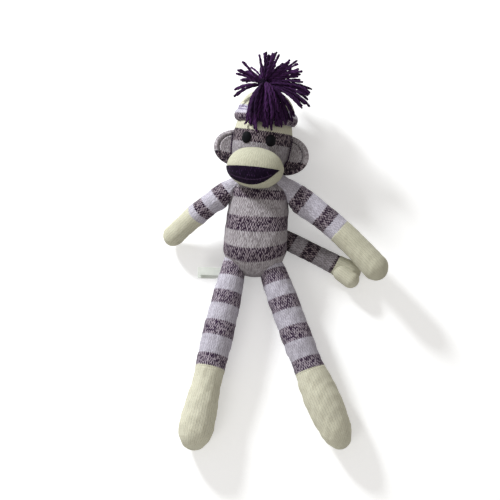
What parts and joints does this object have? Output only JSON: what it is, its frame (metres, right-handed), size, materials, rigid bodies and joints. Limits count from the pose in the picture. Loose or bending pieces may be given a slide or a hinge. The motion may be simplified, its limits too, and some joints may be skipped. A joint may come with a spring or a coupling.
{
  "type": "sock monkey doll",
  "caption": "Stuffed knitted monkey doll with long striped limbs, tail, cap with a yarn pompom, sewn joints at neck, shoulders, hips, ears and tail.",
  "frame": {"origin": "middle of the flat on which the back of the body rests, with the doll lying on its back", "axes": "+Z out of the belly, +Y towards the head, +X towards the doll's left side"},
  "size_m": [0.3082, 0.5347, 0.131],
  "materials": {
    "pale_knit": "pale lilac-grey knit with dark marled stripes",
    "marl_knit": "dark purple marled knit with pale flecks",
    "cream_knit": "fine-ribbed cream knit",
    "purple_knit": "dark purple knit",
    "purple_yarn": "bulky acrylic yarn",
    "thread": "sewing thread",
    "eye": "black, slightly glossy",
    "label_satin": "woven satin ribbon, blank"
  },
  "bodies": {
    "body": {"torso": "pale_knit"},
    "neck": {"neck": "pale_knit"},
    "neck_seam": {"neck_seam": "thread"},
    "head": {"head": "pale_knit", "muzzle": "cream_knit", "mouth": "purple_knit", "mouth_stitch": "thread", "eye_left": "eye", "eye_right": "eye", "cap_crown": "cream_knit", "cap_brim": "marl_knit"},
    "ear_left": {"ear_left": "pale_knit"},
    "ear_right": {"ear_right": "pale_knit"},
    "pompom_tie": {"pompom_tie": "thread"},
    "pompom": {"pompom": "purple_yarn"},
    "shoulder_left": {"shoulder_left": "pale_knit"},
    "arm_left": {"arm_left": "marl_knit", "hand_left": "cream_knit"},
    "shoulder_right": {"shoulder_right": "pale_knit"},
    "arm_right": {"arm_right": "marl_knit", "hand_right": "cream_knit"},
    "hip_left": {"hip_left": "marl_knit"},
    "leg_left": {"leg_left": "pale_knit", "foot_left": "cream_knit"},
    "hip_right": {"hip_right": "marl_knit"},
    "leg_right": {"leg_right": "pale_knit", "foot_right": "cream_knit"},
    "tail_root": {"tail_root": "marl_knit"},
    "tail": {"tail": "marl_knit", "tail_tip": "cream_knit"},
    "label": {"label_upper_flap": "label_satin", "label_under_flap": "label_satin"}
  },
  "joints": [
    {"name": "neck_turn", "type": "hinge", "parent": "body", "child": "neck", "pos_m": [0.00293, 0.09795, 0.0274], "axis": [-0.1216, -0.9817, -0.1468], "range_deg": [-26, 40], "deforming": ["neck"]},
    {"name": "neck_tilt", "type": "hinge", "parent": "neck", "child": "neck_seam", "pos_m": [0.00293, 0.09795, 0.0274], "axis": [-0.146, -0.149, 0.978], "range_deg": [-15, 15], "deforming": ["neck_seam"]},
    {"name": "neck_nod", "type": "hinge", "parent": "neck_seam", "child": "head", "pos_m": [0.00293, 0.09795, 0.0274], "axis": [0.9768, -0.178, 0.1187], "range_deg": [-25, 4], "deforming": ["neck", "neck_seam"]},
    {"name": "ear_left_bend", "type": "hinge", "parent": "head", "child": "ear_left", "pos_m": [0.04661, 0.12253, 0.04175], "axis": [0.1564, 0.9727, 0.1715], "range_deg": [-25, 25]},
    {"name": "ear_right_bend", "type": "hinge", "parent": "head", "child": "ear_right", "pos_m": [-0.03154, 0.13677, 0.03226], "axis": [-0.1564, -0.9727, -0.1715], "range_deg": [-25, 25]},
    {"name": "pompom_twist", "type": "hinge", "parent": "head", "child": "pompom_tie", "pos_m": [0.01341, 0.20392, 0.07145], "axis": [-0.0369, 0.7358, 0.6762], "range_deg": [-30, 30]},
    {"name": "pompom_flop", "type": "hinge", "parent": "pompom_tie", "child": "pompom", "pos_m": [0.01341, 0.20392, 0.07145], "axis": [-0.9768, 0.178, -0.1187], "range_deg": [0, 20]},
    {"name": "shoulder_left_lower", "type": "hinge", "parent": "body", "child": "shoulder_left", "pos_m": [0.04286, 0.0768, 0.04114], "axis": [0, 0, -1], "range_deg": [-59, 16], "deforming": ["shoulder_left"]},
    {"name": "shoulder_left_swing", "type": "hinge", "parent": "shoulder_left", "child": "arm_left", "pos_m": [0.06006, 0.06312, 0.04242], "axis": [-0.6727, -0.7399, 0], "range_deg": [-4, 70], "deforming": ["shoulder_left"]},
    {"name": "hip_left_fold", "type": "hinge", "parent": "body", "child": "hip_left", "pos_m": [0.02201, -0.02948, 0.02792], "axis": [-0.9314, -0.364, 0], "range_deg": [-20, 85], "deforming": ["hip_left"]},
    {"name": "hip_left_spread", "type": "hinge", "parent": "hip_left", "child": "leg_left", "pos_m": [0.03009, -0.05101, 0.02754], "axis": [0, 0, 1], "range_deg": [-18, 36], "deforming": ["hip_left"]},
    {"name": "shoulder_right_lower", "type": "hinge", "parent": "body", "child": "shoulder_right", "pos_m": [-0.02926, 0.07863, 0.04059], "axis": [0, 0, 1], "range_deg": [-60, 12], "deforming": ["shoulder_right"]},
    {"name": "shoulder_right_swing", "type": "hinge", "parent": "shoulder_right", "child": "arm_right", "pos_m": [-0.04709, 0.06538, 0.0416], "axis": [-0.5962, 0.8028, 0], "range_deg": [-30, 50], "deforming": ["shoulder_right"]},
    {"name": "hip_right_fold", "type": "hinge", "parent": "body", "child": "hip_right", "pos_m": [-0.02641, -0.02076, 0.02847], "axis": [-0.9751, 0.2215, 0], "range_deg": [-20, 85], "deforming": ["hip_right"]},
    {"name": "hip_right_spread", "type": "hinge", "parent": "hip_right", "child": "leg_right", "pos_m": [-0.0315, -0.04318, 0.02804], "axis": [0, 0, -1], "range_deg": [-10, 16], "deforming": ["hip_right"]},
    {"name": "tail_swing", "type": "hinge", "parent": "body", "child": "tail_root", "pos_m": [0.03546, 0.01518, 0.0135], "axis": [0, 0, 1], "range_deg": [-24, 40], "deforming": ["tail_root"]},
    {"name": "tail_lift", "type": "hinge", "parent": "tail_root", "child": "tail", "pos_m": [0.04882, 0.00837, 0.0135], "axis": [0.454, 0.891, 0], "range_deg": [-3, 75], "deforming": ["tail_root"]},
    {"name": "label_flap", "type": "hinge", "parent": "hip_right", "child": "label", "pos_m": [-0.04566, -0.03567, 0.02229], "axis": [-0.2215, -0.975, -0.0184], "range_deg": [-60, 60]}
  ]
}
